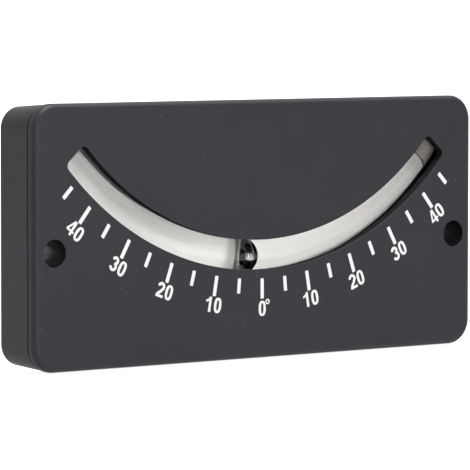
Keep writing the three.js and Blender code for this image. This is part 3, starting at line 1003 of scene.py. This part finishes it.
def make_plug(side, material):
    """A stopper with its stem in the bore and its flange outside. side is 1 on the right, -1 on the left."""
    stem = BORE_RADIUS - PLUG_FIT
    nose = [(stem - i, PLUG_NOSE + along(back)) for i, back in quarter_round(PLUG_ROUND)]
    flange_edge = quarter_round(PLUG_FLANGE_ROUND)
    flange_front = [(TUBE_RADIUS - i, PLUG_FLANGE + along(back)) for i, back in flange_edge]
    flange_back = [(TUBE_RADIUS - i, PLUG_END - along(back)) for i, back in flange_edge]
    reach = PLUG_FLANGE - PLUG_NOSE
    # The shank's first ring is its second step, which is past the nose's round
    shank = [(stem, PLUG_NOSE + reach * step / PLUG_STEPS) for step in range(2, PLUG_STEPS + 1)]
    profile = nose + shank + flange_front + flange_back[::-1]
    bm = bmesh.new()
    add_skin(bm, [swept_ring(radius, side * angle, PLUG_SIDES) for radius, angle in profile])
    name = "plug_right" if side > 0 else "plug_left"
    plug = smooth(new_piece(name, bm))
    dress(plug, "case", [material], [f"end_{name}"])


def make_end_band(material, shade_line_material):
    """The grey band over the front of the tube's right end, with a dark line of painted shade at its edge."""
    stops = [BAND_START, BAND_START + along(BAND_LINE)]
    count = math.ceil((BAND_END - stops[1]) / ARC_STEP)
    stops += [stops[1] + (BAND_END - stops[1]) * step / count for step in range(1, count + 1)]
    front = slice(BAND_BARE_SIDES, TUBE_SIDES // 2 + 1 - BAND_BARE_SIDES)
    rings = []
    for angle in stops:
        outside = swept_ring(TUBE_RADIUS + BAND_THICKNESS, angle)[front]
        inside = swept_ring(TUBE_RADIUS + BAND_GAP, angle)[front]
        rings.append(outside + inside[::-1])
    bm = bmesh.new()
    add_skin(bm, rings)
    end_band = dress(smooth(new_piece("end_band", bm)), "case", [material, shade_line_material])
    for face in end_band.data.polygons:
        x, _, z = face.center
        angle = math.degrees(math.atan2(x, arc_centre.z - z))
        face.material_index = int(angle < stops[1])


def make_ball(material):
    bm = bmesh.new()
    place = Matrix.Translation((ball_low + ball_high) / 2)
    bmesh.ops.create_icosphere(bm, subdivisions=BALL_SUBDIVISIONS, radius=BALL_RADIUS, matrix=place)
    ball = new_piece("ball", bm)
    ball.data.polygons.foreach_set("use_smooth", [True] * len(ball.data.polygons))
    dress(ball, "ball", [material], ["steel_ball"])


# Screws

def screw_rings(centre, top, tip):
    """Rings of the screw from its tip to its head, with the thread as a helix."""
    rings = []
    for step in range(SCREW_STEPS + 1):
        depth = tip + (HEAD_SEAT - tip) * step / SCREW_STEPS
        taper = min(1.0, SCREW_TIP_SHARE + (1 - SCREW_TIP_SHARE) * (tip - depth) / SCREW_POINT)
        runout = min(1.0, max(0.0, (depth - HEAD_SEAT) / THREAD_RUNOUT))
        ring = []
        for side in range(SCREW_SIDES):
            turn = 2 * math.pi * side / SCREW_SIDES
            phase = (depth / SCREW_PITCH + side / SCREW_SIDES) % 1
            crest = max(0.0, 1 - abs(phase - 1 / 2) / THREAD_FLANK_SHARE)
            radius = (SCREW_CORE + (SCREW_CREST - SCREW_CORE) * crest * runout) * taper
            ring.append((centre[0] + radius * math.cos(turn), -depth, centre[1] + radius * math.sin(turn)))
        rings.append(ring)
    crown = HEAD_SEAT - top - SCREW_RIM
    head = [(SCREW_HEAD - SCREW_HEAD_ROUND, HEAD_SEAT), (SCREW_HEAD, HEAD_SEAT - SCREW_HEAD_ROUND)]
    for step in range(CROWN_STEPS):
        turn = step / CROWN_STEPS * math.pi / 2
        radius = SCREW_HEAD * math.cos(turn) ** CROWN_POWER
        head.append((radius, HEAD_SEAT - SCREW_RIM - crown * math.sin(turn)))
    for radius, depth in head:
        rings.append([(x, -depth, z) for x, z in circle(centre, radius, SCREW_SIDES)])
    return rings


def cross(centre, half_length, half_width):
    """The outline of a cross recess."""
    corners = []
    for turn in range(4):
        spin = Matrix.Rotation(turn * math.pi / 2, 2)
        for x, z in ((half_length, -half_width), (half_length, half_width), (half_width, half_width)):
            place = spin @ Vector((x, z))
            corners.append((centre[0] + place.x, centre[1] + place.y))
    return corners


def make_screw(name, material):
    node = f"cover_screw_{name}"
    low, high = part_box(node)
    centre = screw_places()[name]
    top, tip = -high.y, -low.y
    bm = bmesh.new()
    add_skin(bm, screw_rings(centre, top, tip))
    screw = new_piece(f"screw_{name}", bm)

    depths = (top - OVERRUN, top + RECESS_DEPTH * RECESS_KNEE_SHARE, top + RECESS_DEPTH)
    bm = bmesh.new()
    rings = []
    for depth, length_share, width_share in zip(depths, RECESS_LENGTH_SHARES, RECESS_WIDTH_SHARES):
        outline = cross(centre, RECESS_LENGTH / 2 * length_share, RECESS_WIDTH / 2 * width_share)
        rings.append([(x, -depth, z) for x, z in outline])
    add_skin(bm, rings)
    cut(screw, [new_piece("recess", bm)])
    dress(smooth(screw), "case", [material], [node])


# Studio

def seen_by_eye(nodes, links):
    """1 for rays from the camera, also by way of a mirror or glass, and 0 for rays that only light things."""
    path = nodes.new("ShaderNodeLightPath")
    seen = path.outputs["Is Camera Ray"]
    for kind in ("Is Glossy Ray", "Is Transmission Ray"):
        either = nodes.new("ShaderNodeMath")
        either.operation = "MAXIMUM"
        links.new(seen, either.inputs[0])
        links.new(path.outputs[kind], either.inputs[1])
        seen = either.outputs[0]
    return seen


def make_floor():
    """A pale floor with the object's shadow, lifted to white where the eye sees it and clear from below."""
    bm = bmesh.new()
    place = Matrix.Translation((0, 0, cad_box[0].z))
    bmesh.ops.create_grid(bm, x_segments=1, y_segments=1, size=FLOOR_REACH, matrix=place)
    floor = new_piece("floor", bm)
    if floor.data.polygons[0].normal.z < 0:
        floor.data.flip_normals()
    material = bpy.data.materials.new("floor_white")
    material.use_nodes = True
    nodes, links = material.node_tree.nodes, material.node_tree.links
    paint = nodes["Principled BSDF"]
    paint.inputs["Base Color"].default_value = (*FLOOR_COLOR, 1)
    paint.inputs["Roughness"].default_value = FLOOR_ROUGHNESS
    glow = nodes.new("ShaderNodeEmission")
    lift = nodes.new("ShaderNodeMath")
    lift.operation = "MULTIPLY"
    lift.inputs[1].default_value = FLOOR_LIFT
    links.new(seen_by_eye(nodes, links), lift.inputs[0])
    links.new(lift.outputs[0], glow.inputs["Strength"])
    both = nodes.new("ShaderNodeAddShader")
    links.new(paint.outputs[0], both.inputs[0])
    links.new(glow.outputs[0], both.inputs[1])
    under = nodes.new("ShaderNodeMixShader")
    clear = nodes.new("ShaderNodeBsdfTransparent")
    side = nodes.new("ShaderNodeNewGeometry")
    links.new(side.outputs["Backfacing"], under.inputs["Fac"])
    links.new(both.outputs[0], under.inputs[1])
    links.new(clear.outputs[0], under.inputs[2])
    links.new(under.outputs[0], nodes["Material Output"].inputs["Surface"])
    floor.data.materials.append(material)


def make_world():
    """Soft even light for the object, and plain white where the eye sees the world."""
    world = bpy.data.worlds.new("studio")
    bpy.context.scene.world = world
    world.use_nodes = True
    nodes, links = world.node_tree.nodes, world.node_tree.links
    soft = nodes["Background"]
    soft.inputs["Color"].default_value = (1, 1, 1, 1)
    soft.inputs["Strength"].default_value = SOFT_LIGHT
    white = nodes.new("ShaderNodeBackground")
    white.inputs["Color"].default_value = (1, 1, 1, 1)
    mix = nodes.new("ShaderNodeMixShader")
    links.new(seen_by_eye(nodes, links), mix.inputs["Fac"])
    links.new(soft.outputs[0], mix.inputs[1])
    links.new(white.outputs[0], mix.inputs[2])
    links.new(mix.outputs[0], nodes["World Output"].inputs["Surface"])


def make_lamp(name, place, size, power):
    """A rectangular lamp that faces the origin."""
    lamp = bpy.data.lights.new(name, "AREA")
    lamp.shape = "RECTANGLE"
    lamp.size, lamp.size_y = size
    lamp.energy = power
    stand = bpy.data.objects.new(name, lamp)
    bpy.context.scene.collection.objects.link(stand)
    stand.location = place
    stand.rotation_mode = "QUATERNION"
    stand.rotation_quaternion = (-Vector(place)).to_track_quat("-Z", "Y")


def make_dark_wall():
    """The unlit side of the room, behind the camera. The ball and the glossy faces mirror it."""
    left, right = [(WALL_REACH * side, -WALL_DISTANCE, cad_box[0].z) for side in (-1, 1)]
    corners = (left, right, (*right[:2], WALL_TOP), (*left[:2], WALL_TOP))
    bm = bmesh.new()
    bm.faces.new([bm.verts.new(corner) for corner in corners])
    wall = new_piece("dark_wall", bm)
    material = bpy.data.materials.new("dark_wall")
    material.use_nodes = True
    paint = material.node_tree.nodes["Principled BSDF"]
    paint.inputs["Base Color"].default_value = (*WALL_COLOR, 1)
    paint.inputs["Roughness"].default_value = WALL_ROUGHNESS
    wall.data.materials.append(material)
    wall.visible_camera = False


def make_camera():
    """The photograph's view: a long lens, 0.79 m away, to the left of the scale and a little above it."""
    azimuth, tilt, roll = [math.radians(turn) for turn in VIEW_TURNS]
    level = math.cos(tilt)
    forward = Vector((math.sin(azimuth) * level, math.cos(azimuth) * level, math.sin(tilt)))
    aim = forward.to_track_quat("-Z", "Y").to_matrix().to_4x4()
    data = bpy.data.cameras.new("camera")
    data.sensor_width = SENSOR_WIDTH
    data.lens = LENS
    camera = bpy.data.objects.new("camera", data)
    bpy.context.scene.collection.objects.link(camera)
    camera.matrix_world = Matrix.Translation(VIEW_PLACE) @ aim @ Matrix.Rotation(roll, 4, "Z")
    bpy.context.scene.camera = camera


# View and light
make_camera()
make_world()
make_floor()
make_dark_wall()
for lamp_name, (lamp_place, lamp_size, lamp_power) in LAMPS.items():
    make_lamp(lamp_name, lamp_place, lamp_size, lamp_power)
bpy.context.scene.view_settings.view_transform = "Standard"

# Pieces
cover_plastic = case_plastic("cover_plastic", roughness=0.45, specular=0.28)
housing_plastic = case_plastic("housing_plastic", roughness=0.42, specular=0.2)
printing = print_white()
smooth_shaded_plastic = bore_painted_shade()
make_cover(cover_plastic, slot_painted_shade(), smooth_shaded_plastic)
make_housing(housing_plastic, smooth_shaded_plastic)
make_graduations(printing)
make_numbers(printing)
make_tube(tube_glass(), wetted_glass())
make_strip(strip_white())
rubber = plug_rubber()
make_plug(-1, rubber)
make_plug(1, rubber)
make_end_band(band_grey(), band_shade_line())
make_ball(ball_steel())
zinc = screw_zinc()
for screw_name in screw_places():
    make_screw(screw_name, zinc)
